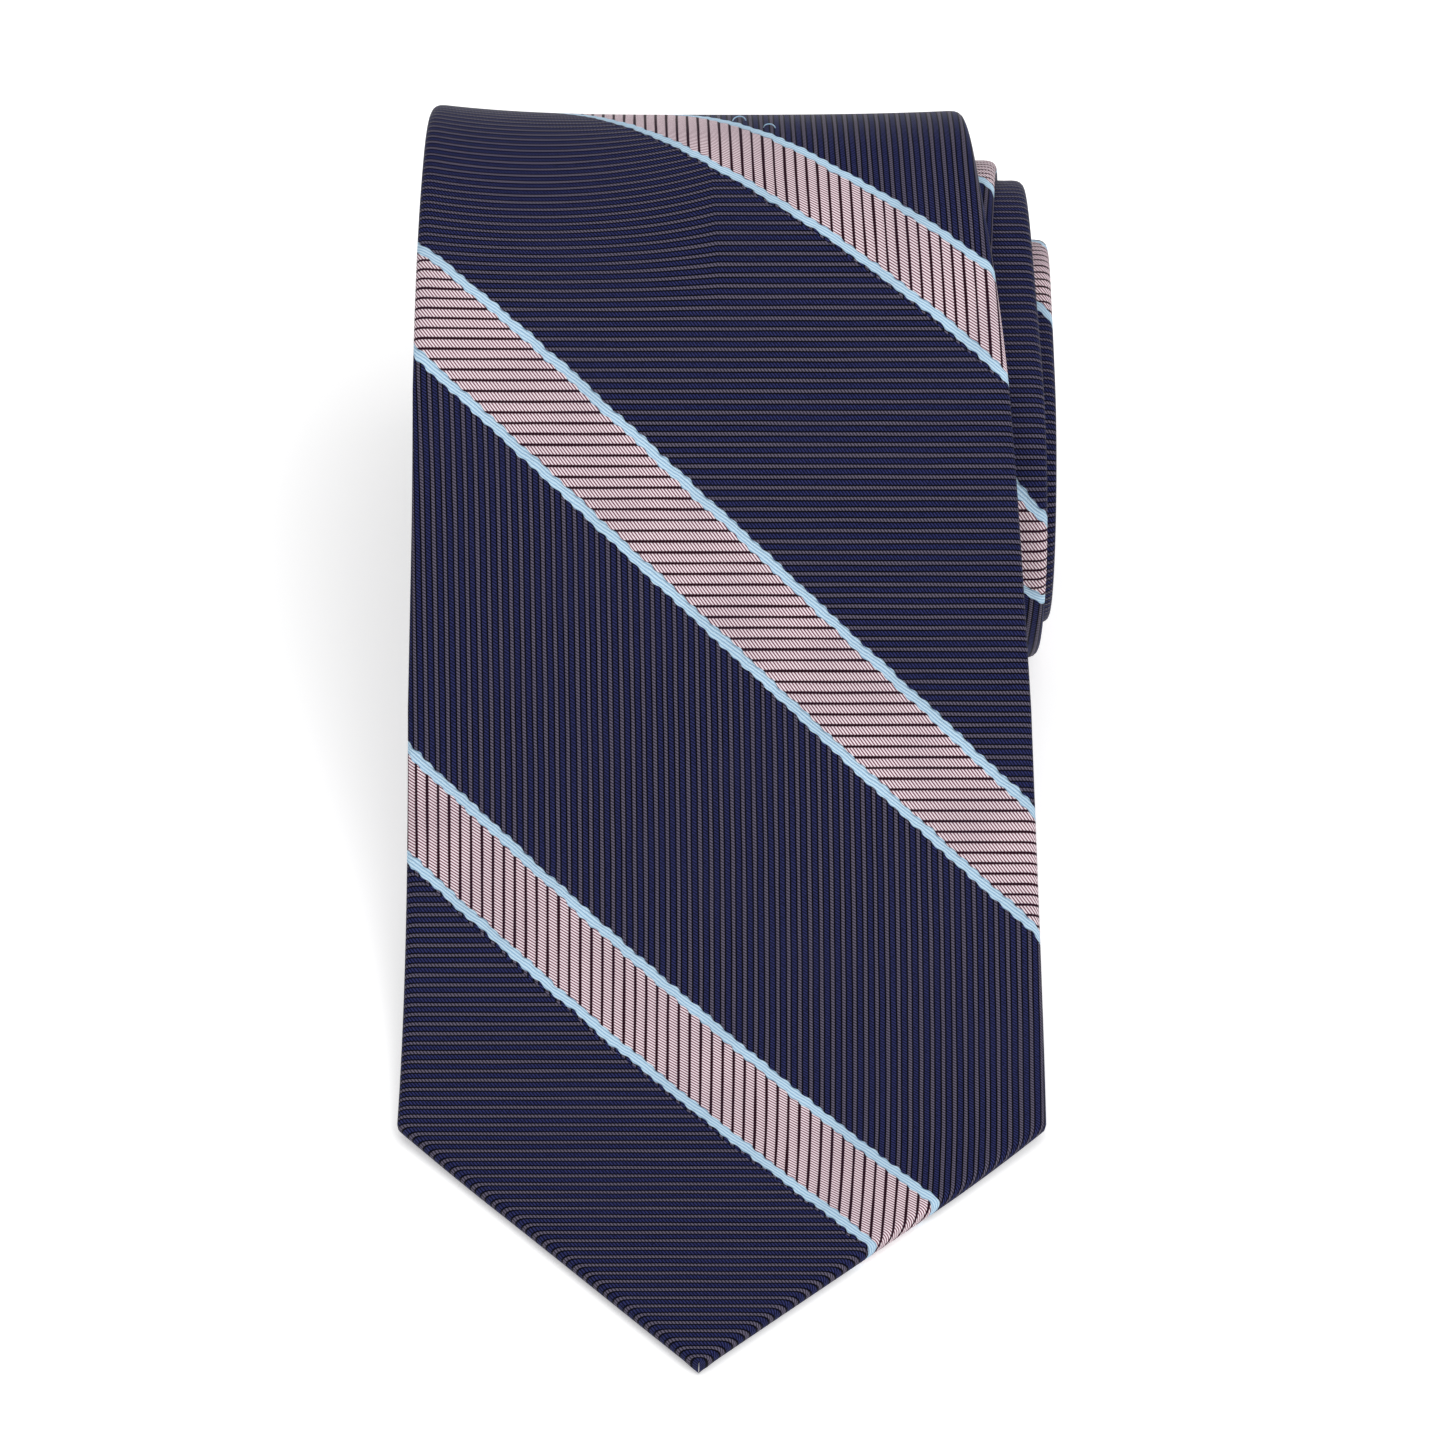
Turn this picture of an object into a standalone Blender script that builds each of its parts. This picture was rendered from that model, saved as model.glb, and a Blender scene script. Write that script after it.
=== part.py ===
"""A silk necktie, rolled up from its narrow end and laid on a flat surface.

The tie is one long, thin envelope of silk with a woollen core.  It is drawn here as a
ribbon that follows a running line: flat under the point of the blade, up the slope,
over the crest and then round and round a flattened spiral to the narrow end.
X runs across the tie, Y runs from the point of the blade to the back of the roll and
Z is up.  The origin is under the middle of the whole, on the surface it lies on.
"""

import math

import bmesh
import bpy
from mathutils import Vector

MM = 0.001

# Layers of the tie, from the face inwards.
TIE_THICKNESS = 2.4 * MM
SILK = 0.4 * MM
LAYER_GAP = 0.3 * MM
CORE = TIE_THICKNESS - 2 * SILK - 2 * LAYER_GAP
TURN_PITCH = TIE_THICKNESS + LAYER_GAP

# Outline of the tie when it is laid flat, as lengths from the point of the blade; WIDTHS
# gives half the width between its two points, in mm.
TIE_LENGTH = 1430 * MM
BLADE_HALF_WIDTH = 41.5 * MM
TAIL_HALF_WIDTH = 24.0 * MM
WIDTHS = (
    (41.5, 41.5), (100, 40.7), (142, 39.1), (200, 35.8), (320, 33.6), (430, 31.9),
    (627, 26.8), (780, 23), (930, 20), (1030, 20),
)
BLADE_NECK_SEAM = 650 * MM
NECK_TAIL_SEAM = 777 * MM
POINT_CUT = 1.6 * MM

# The two long edges of the silk meet along the middle of the back, and part in a vee over
# the lining of each point; the insets keep the parts near a vee's ends apart.
BACK_SLIT = 1.1 * MM
HEM = 13 * MM
BLADE_VEE_TOP = 106 * MM
BLADE_VEE_FLARE = 0.55
TAIL_VEE_TOP = 44 * MM
TAIL_VEE_FLARE = 0.6
THREAD = 0.34 * MM
THREAD_DEPTH = 0.03 * MM
TIPPING_GAP = 0.45 * MM
TIPPING_INSET = 4 * MM
STITCH_INSET = 2 * MM
CORE_CUT = 6.4 * MM

# The blade in front of the roll.
FLAT_RUN = 29.6 * MM
FOOT_RADIUS = 97.5 * MM
SLOPE = math.radians(41.7)
SLOPE_RUN = 39.2 * MM
CREST_RADIUS = 37.7 * MM
BROW = math.radians(13.4)
BROW_RADIUS = 62.1 * MM
TOP_RADIUS = 123.2 * MM
TOP_FALL = math.radians(4.3)

# Turns of the spiral: Y of the centres, radii of the outer face, one turn after another.
FRONT_Y = 139.8 * MM
FRONT_INNER_Y = 141.8 * MM
BACK_Y = 160 * MM
FRONT_RADIUS = 27.2 * MM
BACK_RADIUS = 27.4 * MM
FRONT_INNER_RADIUS = 19.4 * MM
BACK_INNER_RADIUS = 19.0 * MM
INNER_TURNS = 7

# Drift of the tie's middle line along X, as the turns wander off to one side.
DRIFT = (
    (0, -2.4), (42, 0.5), (120, -0.2), (200, -2.8), (300, -1.0), (416, 5.2),
    (552, 14.6), (635, 14.8), (720, 20.0), (788, 21.9), (910, 22.0), (1140, 19.5), (1430, 18.0),
)

# Where the first turn bends when it is unrolled, as headings of the running line.
TURN_STEP = math.radians(22.5)
SHORTEST_STEP = 1.0 * MM
TURN_HINGES = [math.radians(a) for a in (-25, -70, -115, -160)]

# Keeper loop on the back of the blade, and the bar tacks that end the back seam.
KEEPER_WIDTH = 54 * MM
KEEPER_BAND = 10 * MM
KEEPER_WALL = 0.5 * MM
KEEPER_SLOT = 1.0 * MM
KEEPER_SEWN = 1.5 * MM
KEEPER_PLACE = 0.25
TACK_LENGTH = 9 * MM
TACK_WIDTH = 1.6 * MM
TACK_HEIGHT = 0.5 * MM
TACK_LIFT = 0.12 * MM
TACK_PAST_VEE = 4 * MM

NAVY = (0.012, 0.014, 0.035, 1)
WOOL = (0.78, 0.76, 0.70, 1)
LINING = (0.02, 0.022, 0.05, 1)
NAVY_THREAD = (0.03, 0.035, 0.08, 1)

COLLECTION = bpy.data.collections.new("rolled_necktie")


class RunningLine:
    """A smooth line in the YZ plane, made of straight runs and arcs, measured by length."""

    def __init__(self, y, z):
        self.pieces = []
        self.end = (0.0, y, z, 0.0)
        self.radius = 0.0
        self.outer_start = 0.0
        self.outer_radius = 0.0

    def run(self, length, turn=0.0):
        """Adds a stretch of that length, whose heading changes evenly by turn radians."""
        start, y, z, heading = self.end
        self.pieces.append((start, length, y, z, heading, turn))
        self.end = (start + length, *self.place(start + length))

    def arc(self, radius, turn):
        """Adds an arc that turns the heading by turn radians."""
        self.run(radius * abs(turn), turn)

    def belt_to(self, y, z, radius):
        """Goes round the present circle until the tangent to the next one, and along it.

        Both are passed with their centre on the right-hand side."""
        _, here_y, here_z, heading = self.end
        now_y = here_y + self.radius * math.sin(heading)
        now_z = here_z - self.radius * math.cos(heading)
        distance = math.hypot(y - now_y, z - now_z)
        bearing = math.atan2(z - now_z, y - now_y)
        tangent = bearing - math.asin((self.radius - radius) / distance)
        while tangent > heading:
            tangent -= 2 * math.pi
        self.arc(self.radius, tangent - heading)
        self.run(math.sqrt(distance**2 - (self.radius - radius) ** 2))
        self.radius = radius

    def place(self, s):
        """Y, Z and heading at length s."""
        piece = next((p for p in self.pieces if s <= p[0] + p[1]), self.pieces[-1])
        start, length, y, z, heading, turn = piece
        along = s - start
        if abs(turn) < 1e-9:
            return y + along * math.cos(heading), z + along * math.sin(heading), heading
        radius = length / turn
        now = heading + along / radius
        return (
            y + radius * (math.sin(now) - math.sin(heading)),
            z - radius * (math.cos(now) - math.cos(heading)),
            now,
        )

    def length_at(self, heading):
        """The first length past the crest at which the line has that heading."""
        for start, length, _, _, first, turn in self.pieces:
            if start >= self.outer_start and turn and first + turn <= heading <= first:
                return start + length * (heading - first) / turn
        raise ValueError("the line never has that heading")


def make_line():
    """The face of the tie from the point of the blade to the narrow end."""
    line = RunningLine(0.0, TIE_THICKNESS)
    line.run(FLAT_RUN)
    line.arc(FOOT_RADIUS, SLOPE)
    line.run(SLOPE_RUN)
    line.arc(CREST_RADIUS, BROW - SLOPE)
    line.arc(BROW_RADIUS, -BROW)
    line.arc(TOP_RADIUS, -TOP_FALL)
    line.outer_start = line.end[0]
    line.outer_radius = line.end[2] / (1 + math.cos(TOP_FALL))
    line.radius = line.outer_radius
    line.belt_to(FRONT_Y, FRONT_RADIUS, FRONT_RADIUS)
    bottom = TURN_PITCH
    line.belt_to(BACK_Y, bottom + BACK_RADIUS, BACK_RADIUS)
    front = FRONT_RADIUS - TURN_PITCH
    line.belt_to(FRONT_Y, bottom + front, front)
    bottom += TURN_PITCH
    back = BACK_RADIUS - TURN_PITCH
    line.belt_to(BACK_Y, bottom + back, back)
    for turn in range(INNER_TURNS):
        front = FRONT_INNER_RADIUS - turn * TURN_PITCH
        line.belt_to(FRONT_INNER_Y, bottom + front, front)
        bottom += TURN_PITCH
        back = BACK_INNER_RADIUS - turn * TURN_PITCH
        line.belt_to(BACK_Y, bottom + back, back)
    line.arc(line.radius, -math.pi)
    return line


LINE = make_line()
FOOT_HINGE = FLAT_RUN + FOOT_RADIUS * SLOPE / 2
CREST_HINGE = FLAT_RUN + FOOT_RADIUS * SLOPE + SLOPE_RUN + CREST_RADIUS * SLOPE / 2
UNROLL = [LINE.length_at(a) for a in TURN_HINGES]


def between(s, knots):
    """Linear interpolation in a list of (s, value)."""
    for (s0, v0), (s1, v1) in zip(knots, knots[1:]):
        if s <= s1:
            return v0 + (v1 - v0) * (s - s0) / (s1 - s0)
    return knots[-1][1]


def half_width(s):
    """Half the tie's width at length s: a right-angled point at each end."""
    tail = TAIL_HALF_WIDTH / MM
    length = TIE_LENGTH / MM
    knots = ((0, 0), *WIDTHS, (length - tail, tail), (length, 0))
    return between(s / MM, knots) * MM


def back_opening(s):
    """Half the gap between the folded edges on the back at length s."""
    slit = BACK_SLIT / 2
    tail = TIE_LENGTH - s
    blade_vee = (BLADE_VEE_TOP - s) * BLADE_VEE_FLARE
    tail_vee = (TAIL_VEE_TOP - tail) * TAIL_VEE_FLARE
    hem = half_width(s) - HEM
    return max(slit, min(hem, blade_vee if s < TIE_LENGTH / 2 else tail_vee))


def middle(s):
    return between(s / MM, DRIFT) * MM


def world(s, across, depth):
    """A point at length s, across the tie from its middle, and that deep under its face."""
    y, z, heading = LINE.place(s)
    return Vector((
        middle(s) + across,
        y + depth * math.sin(heading),
        z - depth * math.cos(heading),
    ))


def stations(start, end):
    """Lengths where the ribbon has a cross-section: both ends, and every step of a bend."""
    found = {start, end}
    for first, length, _, _, heading, turn in LINE.pieces:
        found.add(first)
        if turn:
            last = heading + turn
            if first >= LINE.outer_start:
                angle = TURN_HINGES[0] + 2 * TURN_STEP
                while angle > last + TURN_STEP / 3:
                    if angle < heading - TURN_STEP / 3:
                        found.add(first + length * (angle - heading) / turn)
                    angle -= TURN_STEP
            else:
                count = max(2, round(abs(turn) / math.radians(10)) * 2)
                found.update(first + length * i / count for i in range(1, count))
    found.update((BLADE_HALF_WIDTH, BLADE_VEE_TOP, TIE_LENGTH - TAIL_HALF_WIDTH))
    found.update((TIE_LENGTH - TAIL_VEE_TOP, WIDTHS[-2][0] * MM, WIDTHS[-1][0] * MM))
    kept = sorted(s for s in found if start <= s <= end)
    return [s for i, s in enumerate(kept) if i in (0, len(kept) - 1) or (
        s - kept[i - 1] > SHORTEST_STEP and end - s > SHORTEST_STEP)]


def loft(name, sections, material, caps=((0, 1, 2, 3),)):
    """A closed solid through equal rings of points; caps are the faces that close its two ends."""
    mesh = bpy.data.meshes.new(name)
    work = bmesh.new()
    rings = [[work.verts.new(p) for p in ring] for ring in sections]
    count = len(rings[0])
    for near, far in zip(rings, rings[1:]):
        for i in range(count):
            j = (i + 1) % count
            work.faces.new((near[i], near[j], far[j], far[i]))
    for cap in caps:
        work.faces.new([rings[0][i] for i in reversed(cap)])
        work.faces.new([rings[-1][i] for i in cap])
    bmesh.ops.triangulate(work, faces=work.faces[:])
    bmesh.ops.recalc_face_normals(work, faces=work.faces[:])
    work.to_mesh(mesh)
    work.free()
    mesh.materials.append(material)
    part = bpy.data.objects.new(name, mesh)
    COLLECTION.objects.link(part)
    return part


def envelope_ring(s):
    """The silk at length s: the face, both folded edges and the two flaps of the back."""
    w = half_width(s)
    g = back_opening(s)
    inner = w - SILK
    low, high = TIE_THICKNESS, TIE_THICKNESS - SILK
    profile = (
        (-w, 0), (w, 0), (w, low), (g, low), (g, high), (inner, high),
        (inner, SILK), (-inner, SILK), (-inner, high), (-g, high), (-g, low), (-w, low),
    )
    return [world(s, a, d) for a, d in profile]


def slab_ring(s, half, top, bottom):
    """A flat rectangle across the tie at length s, between two depths."""
    return [world(s, a, d) for a, d in ((-half, top), (half, top), (half, bottom), (-half, bottom))]


def envelope(name, start, end, material):
    """A length of the silk, open along the slit or the vee of its back."""
    caps = ((0, 1, 6, 7), (1, 2, 5, 6), (2, 3, 4, 5), (11, 0, 7, 8), (10, 11, 8, 9))
    return loft(name, [envelope_ring(s) for s in stations(start, end)], material, caps)


def interlining(name, start, end, material):
    """The woollen core, inside the silk all the way round."""
    top = SILK + LAYER_GAP
    inset = SILK + LAYER_GAP * 2
    rings = [slab_ring(s, half_width(s) - inset, top, top + CORE) for s in stations(start, end)]
    return loft(name, rings, material)


def tipping(name, start, end, material):
    """The lining that closes the vee between the flaps, level with the back."""
    high = TIE_THICKNESS - SILK
    rings = []
    for s in stations(start, end):
        half = back_opening(s) - TIPPING_GAP
        rings.append(slab_ring(s, half, high, TIE_THICKNESS))
    return loft(name, rings, material)


def slip_stitch(name, start, end, material):
    """The single thread that closes the back seam, lying between the two flaps."""
    bottom = TIE_THICKNESS - THREAD_DEPTH
    rings = [slab_ring(s, THREAD / 2, bottom - THREAD, bottom) for s in stations(start, end)]
    return loft(name, rings, material)


def bar_tack(name, s, material):
    """A short, thick row of stitches across the end of the back seam."""
    low = TIE_THICKNESS + TACK_LIFT
    ends = (s - TACK_WIDTH / 2, s + TACK_WIDTH / 2)
    rings = [slab_ring(e, TACK_LENGTH / 2, low, low + TACK_HEIGHT) for e in ends]
    return loft(name, rings, material)


def keeper_loop(name, s, material):
    """A band across the back that stands off it by a slot, for the narrow end to pass.

    The back bends in flat steps here, each of which lies a little inside the true arc."""
    half = KEEPER_WIDTH / 2
    step_depth = LINE.outer_radius * (1 - math.cos(TURN_STEP / 2))
    low = TIE_THICKNESS + LAYER_GAP + step_depth
    roof = low + KEEPER_SLOT
    top = roof + KEEPER_WALL
    inner = half - KEEPER_SEWN
    profile = (
        (-half, low), (-inner, low), (-inner, roof), (inner, roof),
        (inner, low), (half, low), (half, top), (-half, top),
    )
    heading = LINE.place(s)[2]
    along = Vector((0, math.cos(heading), math.sin(heading))) * (KEEPER_BAND / 2)
    ring = [world(s, a, d) for a, d in profile]
    caps = ((0, 1, 2, 7), (7, 2, 3, 6), (3, 4, 5, 6))
    return loft(name, [[p - along for p in ring], [p + along for p in ring]], material, caps)


def make_material(name, colour, roughness):
    material = bpy.data.materials.new(name)
    material.use_nodes = True
    shader = material.node_tree.nodes["Principled BSDF"]
    shader.inputs["Base Color"].default_value = colour
    shader.inputs["Roughness"].default_value = roughness
    shader.inputs["Metallic"].default_value = 0.0
    return material


def pivot(name, s, depth):
    """An empty on the axis of a bend, at length s."""
    empty = bpy.data.objects.new(name, None)
    empty.location = world(s, 0, depth)
    empty.location.x = 0
    empty.empty_display_size = 10 * MM
    COLLECTION.objects.link(empty)
    return empty


def centre_on_origin(parts, pivots):
    """Moves everything so that the origin is under the middle of the whole."""
    points = [v.co for p in parts for v in p.data.vertices]
    low = [min(p[i] for p in points) for i in range(3)]
    high = [max(p[i] for p in points) for i in range(3)]
    shift = Vector((-(low[0] + high[0]) / 2, -(low[1] + high[1]) / 2, -low[2]))
    for part in parts:
        for vertex in part.data.vertices:
            vertex.co += shift
    for empty in pivots:
        empty.location += Vector((0, shift.y, shift.z))


def hang_on(part, empty):
    """Gives part the empty as its parent and as the place of its own origin."""
    for vertex in part.data.vertices:
        vertex.co -= empty.location
    part.parent = empty


def main():
    for old in list(bpy.data.objects):
        bpy.data.objects.remove(old, do_unlink=True)
    bpy.context.scene.collection.children.link(COLLECTION)

    silk = make_material("striped_silk", NAVY, 0.45)
    wool = make_material("wool_interlining", WOOL, 0.95)
    lining = make_material("lining_silk", LINING, 0.35)
    thread = make_material("navy_thread", NAVY_THREAD, 0.6)

    # Bodies from the point of the blade to the roll, and the lengths where they part.
    bodies = ("tip", "slope", "top", "upper_turn", "rear_turn", "lower_turn", "roll")
    cuts = (FOOT_HINGE, CREST_HINGE, *UNROLL)
    starts = (0.0, *(c + LAYER_GAP / 2 for c in cuts))
    ends = (*(c - LAYER_GAP / 2 for c in cuts), BLADE_NECK_SEAM - LAYER_GAP / 2)

    made = {body: [] for body in bodies}
    for body, start, end in zip(bodies, starts, ends):
        group = made[body]
        core_end = TIE_LENGTH - CORE_CUT if body == "roll" else end
        core_start = CORE_CUT if body == "tip" else start
        silk_start = POINT_CUT if body == "tip" else start
        group.append(envelope(f"blade_silk_{body}", silk_start, end, silk))
        group.append(interlining(f"interlining_{body}", core_start, core_end, wool))
        if body == "tip":
            group.append(tipping("blade_tipping_tip", HEM + TIPPING_INSET, end, lining))
        if body == "slope":
            vee_end = BLADE_VEE_TOP - TIPPING_INSET
            group.append(tipping("blade_tipping_slope", start, vee_end, lining))
            group.append(bar_tack("blade_bar_tack", BLADE_VEE_TOP + TACK_PAST_VEE, thread))
            start = BLADE_VEE_TOP + STITCH_INSET
        if body == "roll":
            end = TIE_LENGTH - TAIL_VEE_TOP - STITCH_INSET
        if body != "tip":
            group.append(slip_stitch(f"slip_stitch_{body}", start, end, thread))
        if body == "upper_turn":
            place = start + (end - start) * KEEPER_PLACE
            group.append(keeper_loop("keeper_loop", place, silk))

    neck_start = BLADE_NECK_SEAM + LAYER_GAP / 2
    neck_end = NECK_TAIL_SEAM - LAYER_GAP / 2
    tail_start = NECK_TAIL_SEAM + LAYER_GAP / 2
    roll = made["roll"]
    roll.append(envelope("neck_silk", neck_start, neck_end, silk))
    roll.append(envelope("tail_silk", tail_start, TIE_LENGTH - POINT_CUT, silk))
    tail_vee = TIE_LENGTH - TAIL_VEE_TOP
    tipping_end = TIE_LENGTH - HEM - TIPPING_INSET
    roll.append(tipping("tail_tipping", tail_vee + TIPPING_INSET, tipping_end, lining))
    roll.append(bar_tack("tail_bar_tack", tail_vee - TACK_PAST_VEE, thread))

    pivots = [pivot("tip_axis", FOOT_HINGE, TIE_THICKNESS)]
    for body, s in zip(bodies[1:], (CREST_HINGE, *UNROLL)):
        pivots.append(pivot(f"{body}_axis", s, 0.0))
    parts = [p for group in made.values() for p in group]
    centre_on_origin(parts, pivots)
    for empty, body in zip(pivots, bodies):
        for part in made[body]:
            hang_on(part, empty)


main()
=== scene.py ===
"""The looks of a rolled silk necktie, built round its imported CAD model.

The tie is drawn as cloth that follows a running line: flat under the point of the blade,
up the slope, over the crest and round the flattened spiral of the roll.  Every layer is
swept along that line: the folded silk, the interlining, the lining of the points, the
slip stitch down the back, the bar tacks and the keeper loop.
"""

import bisect
import math

import bpy
import numpy as np
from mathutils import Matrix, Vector

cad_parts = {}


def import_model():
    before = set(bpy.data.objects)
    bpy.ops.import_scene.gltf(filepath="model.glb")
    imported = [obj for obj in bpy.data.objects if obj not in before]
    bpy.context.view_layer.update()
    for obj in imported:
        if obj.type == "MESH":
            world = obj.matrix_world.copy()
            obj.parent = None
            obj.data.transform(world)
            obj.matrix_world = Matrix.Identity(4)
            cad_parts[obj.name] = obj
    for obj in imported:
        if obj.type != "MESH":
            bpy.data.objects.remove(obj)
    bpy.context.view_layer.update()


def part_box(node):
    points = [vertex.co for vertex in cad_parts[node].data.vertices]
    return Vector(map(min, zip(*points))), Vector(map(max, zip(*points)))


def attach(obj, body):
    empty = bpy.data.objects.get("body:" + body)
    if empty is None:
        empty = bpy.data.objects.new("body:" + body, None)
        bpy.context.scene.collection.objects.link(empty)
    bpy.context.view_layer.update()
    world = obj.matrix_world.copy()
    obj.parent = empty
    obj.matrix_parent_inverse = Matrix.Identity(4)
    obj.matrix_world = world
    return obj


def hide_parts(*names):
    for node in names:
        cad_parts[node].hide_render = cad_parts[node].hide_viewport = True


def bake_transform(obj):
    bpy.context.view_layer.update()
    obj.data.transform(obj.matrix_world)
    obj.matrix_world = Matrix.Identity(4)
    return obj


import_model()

MM = 0.001

# Layers of the tie.
CAD_THICKNESS = 2.4 * MM
TURN_PITCH = 2.7 * MM
THICKNESS = 2.25 * MM
CLOTH = 0.3 * MM
CORE = 0.9 * MM
FOLD_RADIUS = 1.7 * MM

# Outline of the tie when it is laid flat, as lengths from the point of the blade.
TIE_LENGTH = 1430 * MM
TAIL_HALF_WIDTH = 24.0 * MM
WIDTHS = (
    (41.5, 41.5), (100, 40.7), (142, 39.1), (200, 35.8), (320, 33.6), (430, 31.9),
    (627, 26.8), (780, 23), (930, 20), (1030, 20),
)
BLADE_NECK_SEAM = 650 * MM
NECK_TAIL_SEAM = 777 * MM
SEAM_FADE = 80 * MM
POINT_CUT = 1.6 * MM
POINT_RADIUS = 1.3 * MM
HEM = 13 * MM
BLADE_VEE_TOP = 106 * MM
TAIL_VEE_TOP = 44 * MM
BLADE_VEE_FLARE = 0.55
TAIL_VEE_FLARE = 0.6
SEAM_SLIT = 0.1 * MM
SEAM_OVERLAP = 5 * MM
OVERLAP_RAMP = 10 * MM

# The blade in front of the roll.
FLAT_RUN = 29.6 * MM
FOOT_RADIUS = 97.5 * MM
SLOPE = math.radians(41.7)
SLOPE_RUN = 39.2 * MM
CREST_RADIUS = 37.7 * MM
BROW = math.radians(13.4)
BROW_RADIUS = 62.1 * MM
TOP_RADIUS = 123.2 * MM
TOP_FALL = math.radians(4.3)

# Turns of the spiral: Y of the centres, radii of the face, one turn after another.
FRONT_Y = 139.8 * MM
FRONT_INNER_Y = 141.8 * MM
BACK_Y = 160 * MM
FRONT_RADIUS = 27.2 * MM
BACK_RADIUS = 27.4 * MM
FRONT_INNER_RADIUS = 19.4 * MM
BACK_INNER_RADIUS = 19.0 * MM
INNER_TURNS = 7

# Where the first turn bends when it is unrolled, as headings of the running line.
TURN_HINGES = [math.radians(a) for a in (-25, -70, -115, -160)]

# Drift of the tie's middle line along X, and how far its long edges stand up, in mm.
DRIFT = (
    (0, -2.4), (42, 0.5), (120, -0.2), (200, -2.8), (300, -1.0), (416, 5.2),
    (552, 14.6), (635, 14.8), (720, 20.0), (788, 21.9), (910, 22.0), (1140, 19.5), (1430, 18.0),
)
LIFT_LEFT = ((0, 0), (110, 0), (172, 0.9), (200, 1.5), (240, 0.8), (280, 0), (1430, 0))
LIFT_RIGHT = ((0, 0), (120, 0), (172, 0.3), (200, 0.6), (240, 0.3), (280, 0), (1430, 0))

# The weave: pitch of its ribs, and the repeat of its stripes measured along the tie.
RIB = 1.417 * MM
REPEAT = 145 * MM
FIRST_STRIPE = 41 * MM
NECK_STRIPE = 929 * MM
TAIL_STRIPE = 37 * MM
SLIP = (
    (0, 0), (285, 0), (390, -38.5), (480, -38.5), (550, -32), (563, -27), (625, -36), (1430, -36),
)
PINK_ALONG = (0.0, 15.0)
PINK_ACROSS = (71.0, 88.0)
BORDER = 0.78

# The bowed ribs over the crest: how far, round which line, how wide the curve is, and where
# along the tie it comes in and goes out.
BOW = 3.6 * MM
BOW_CENTRE = -24 * MM
BOW_REACH = 21 * MM
BOW_IN = (148 * MM, 182 * MM)
BOW_OUT = (210 * MM, 260 * MM)

# Parts of the mesh across the silk: on each flap, round each fold and over the face.
SILK_COLUMNS = (12, 9, 44)

# Steps along the tie between the rings of a piece.
SILK_STEP = 0.8 * MM
INNER_STEP = 1.8 * MM

# The sewing: pitch of the slip stitch, and how far from the middle the seam's edge lies.
STITCH = 7 * MM
SEAM_EDGE = -5 * MM
THREAD_RADIUS = 0.16 * MM

# Loops of border yarn: length along the tie, place across it, size and lean, in mm.
YARN_LOOPS = ((193.5, 5.6, 0.9, 0.5), (190.5, 9.6, 0.8, -0.6))

CAMERA_PLACE = (0.0006, -0.7167, 0.7676)
CAMERA_DOWN = math.radians(42.52)
CAMERA_LENS = 209.9


class RunningLine:
    """A smooth line in the YZ plane, made of straight runs and arcs, measured by length."""

    def __init__(self, y, z):
        self.pieces = []
        self.starts = []
        self.end = (0.0, y, z, 0.0)

    def run(self, length, turn=0.0):
        start, y, z, heading = self.end
        self.pieces.append((start, length, y, z, heading, turn))
        self.starts.append(start)
        self.end = (start + length, *self.place(start + length))

    def arc(self, radius, turn):
        self.run(radius * abs(turn), turn)

    def belt_to(self, y, z, radius):
        """Round the present circle to the tangent of the next, both on the right-hand side."""
        _, here_y, here_z, heading = self.end
        now_y = here_y + self.radius * math.sin(heading)
        now_z = here_z - self.radius * math.cos(heading)
        distance = math.hypot(y - now_y, z - now_z)
        bearing = math.atan2(z - now_z, y - now_y)
        tangent = bearing - math.asin((self.radius - radius) / distance)
        while tangent > heading:
            tangent -= 2 * math.pi
        self.arc(self.radius, tangent - heading)
        self.run(math.sqrt(distance**2 - (self.radius - radius) ** 2))
        self.radius = radius

    def place(self, s):
        """Y, Z and heading at length s."""
        index = max(0, bisect.bisect_right(self.starts, s) - 1)
        start, length, y, z, heading, turn = self.pieces[index]
        along = s - start
        if abs(turn) < 1e-9:
            return y + along * math.cos(heading), z + along * math.sin(heading), heading
        radius = length / turn
        now = heading + along / radius
        y += radius * (math.sin(now) - math.sin(heading))
        return y, z - radius * (math.cos(now) - math.cos(heading)), now


def make_line():
    """The face of the tie from the point of the blade to the narrow end."""
    line = RunningLine(0.0, CAD_THICKNESS)
    line.run(FLAT_RUN)
    line.arc(FOOT_RADIUS, SLOPE)
    line.run(SLOPE_RUN)
    line.arc(CREST_RADIUS, BROW - SLOPE)
    line.arc(BROW_RADIUS, -BROW)
    line.arc(TOP_RADIUS, -TOP_FALL)
    line.radius = line.end[2] / (1 + math.cos(TOP_FALL))
    line.belt_to(FRONT_Y, FRONT_RADIUS, FRONT_RADIUS)
    bottom = TURN_PITCH
    line.belt_to(BACK_Y, bottom + BACK_RADIUS, BACK_RADIUS)
    front = FRONT_RADIUS - TURN_PITCH
    line.belt_to(FRONT_Y, bottom + front, front)
    bottom += TURN_PITCH
    back = BACK_RADIUS - TURN_PITCH
    line.belt_to(BACK_Y, bottom + back, back)
    for turn in range(INNER_TURNS):
        front = FRONT_INNER_RADIUS - turn * TURN_PITCH
        line.belt_to(FRONT_INNER_Y, bottom + front, front)
        bottom += TURN_PITCH
        back = BACK_INNER_RADIUS - turn * TURN_PITCH
        line.belt_to(BACK_Y, bottom + back, back)
    line.arc(line.radius, -math.pi)
    return line


def length_at(heading):
    """Length at which the outer turn has that heading, past the crest."""
    for start, length, _, _, first, turn in LINE.pieces[6:]:
        if turn and first + turn <= heading <= first:
            return start + length * (heading - first) / turn
    raise ValueError("the outer turn never has that heading")


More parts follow.
